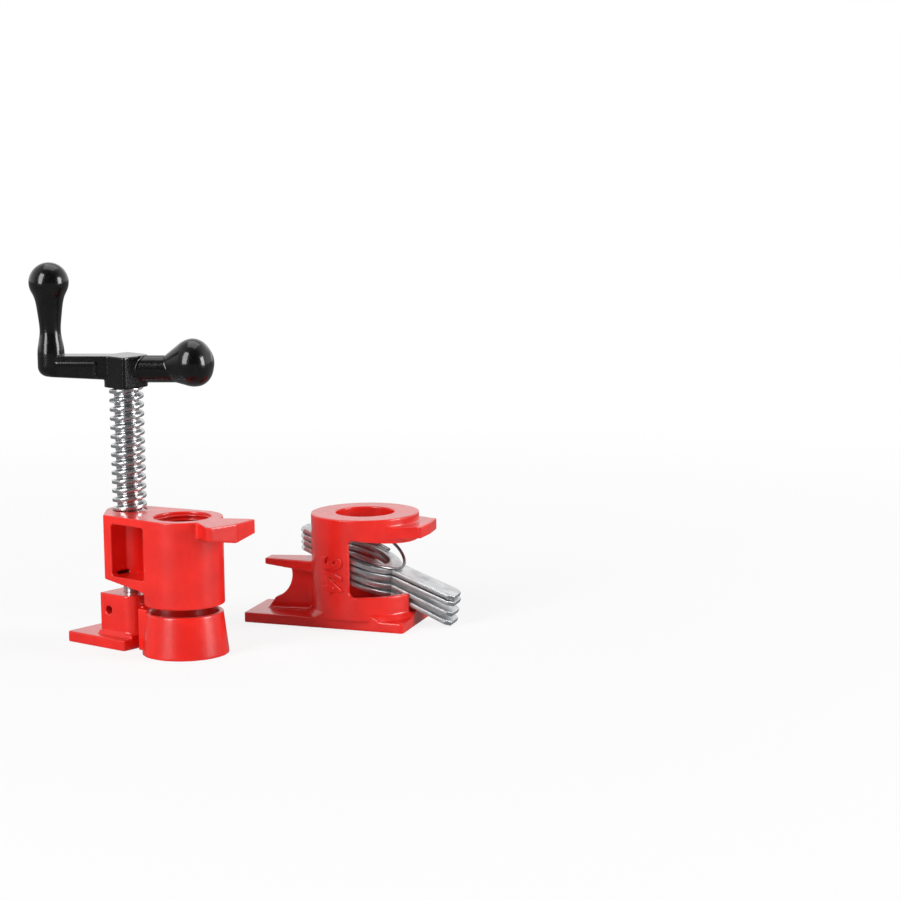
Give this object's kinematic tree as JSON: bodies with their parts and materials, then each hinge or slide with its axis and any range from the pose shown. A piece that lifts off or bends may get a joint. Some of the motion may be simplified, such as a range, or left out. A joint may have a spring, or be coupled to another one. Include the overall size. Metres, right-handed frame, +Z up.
{
  "type": "woodworking pipe clamp",
  "caption": "Pipe clamp fixtures: a cranked screw head with sliding jaw, and a sliding tail stop with a spring clutch, for joining on a plain pipe.",
  "frame": {"origin": "on the head's pipe axis, in the plane of the pressing faces that the clamp stands on", "axes": "+Z up along the pipe axis, away from the work; the screw stands on -X of the pipe axis; the tail stands beside on +Y"},
  "size_m": [0.1383, 0.1643, 0.1787],
  "materials": {
    "red_enamel": "glossy baked enamel over cast iron",
    "black_enamel": "gloss black enamel with slight orange peel",
    "zinc_screw": "bright zinc plated thread",
    "zinc_plate": "dull zinc plated stamping",
    "pin_steel": "dark steel pin",
    "spring_steel": "dark spring wire"
  },
  "bodies": {
    "head": {"head_casting": "red_enamel"},
    "jaw": {"moving_jaw": "red_enamel", "jaw_retaining_pin": "pin_steel"},
    "screw": {"acme_screw": "zinc_screw", "crank_handle": "black_enamel", "crank_pin": "black_enamel"},
    "tail": {"tail_casting": "red_enamel", "clutch_spring": "spring_steel"},
    "plate_1": {"clutch_plate_1": "zinc_plate"},
    "plate_2": {"clutch_plate_2": "zinc_plate"},
    "plate_3": {"clutch_plate_3": "zinc_plate"},
    "plate_4": {"clutch_plate_4": "zinc_plate"}
  },
  "joints": [
    {"name": "jaw_travel", "type": "slide", "parent": "head", "child": "jaw", "axis": [0, 0, -1], "range_m": [-0.0033, 0.056]},
    {"name": "screw_turn", "type": "hinge", "parent": "jaw", "child": "screw", "pos_m": [-0.0345, 0, 0.0635], "axis": [0, 0, -1], "range_deg": [-300, 4800]},
    {"name": "tail_travel", "type": "slide", "parent": "head", "child": "tail", "axis": [0, 0, 1], "range_m": [0, 0.2]},
    {"name": "plate_tilt_1", "type": "hinge", "parent": "tail", "child": "plate_1", "pos_m": [-0.00028, 0.09275, 0.0428], "axis": [0.3987, -0.9171, 0], "range_deg": [0, 17.9], "stiffness_Nm_per_rad": 0.3, "springref_deg": -20.05, "deforming": ["clutch_spring"]},
    {"name": "plate_tilt_2", "type": "hinge", "parent": "tail", "child": "plate_2", "pos_m": [-0.00028, 0.09275, 0.0398], "axis": [0.3987, -0.9171, 0], "range_deg": [0, 18.1]},
    {"name": "plate_tilt_3", "type": "hinge", "parent": "tail", "child": "plate_3", "pos_m": [-0.00028, 0.09275, 0.0368], "axis": [0.3987, -0.9171, 0], "range_deg": [0, 19.8]},
    {"name": "plate_tilt_4", "type": "hinge", "parent": "tail", "child": "plate_4", "pos_m": [-0.00028, 0.09275, 0.0338], "axis": [0.3987, -0.9171, 0], "range_deg": [0, 21]}
  ],
  "couplings": [
    {"joint": "screw_turn", "follows": "jaw_travel", "rad_per_m": 1484.3},
    {"joint": "plate_tilt_2", "follows": "plate_tilt_1", "ratio": 1},
    {"joint": "plate_tilt_3", "follows": "plate_tilt_1", "ratio": 1.095},
    {"joint": "plate_tilt_4", "follows": "plate_tilt_1", "ratio": 1.162}
  ]
}
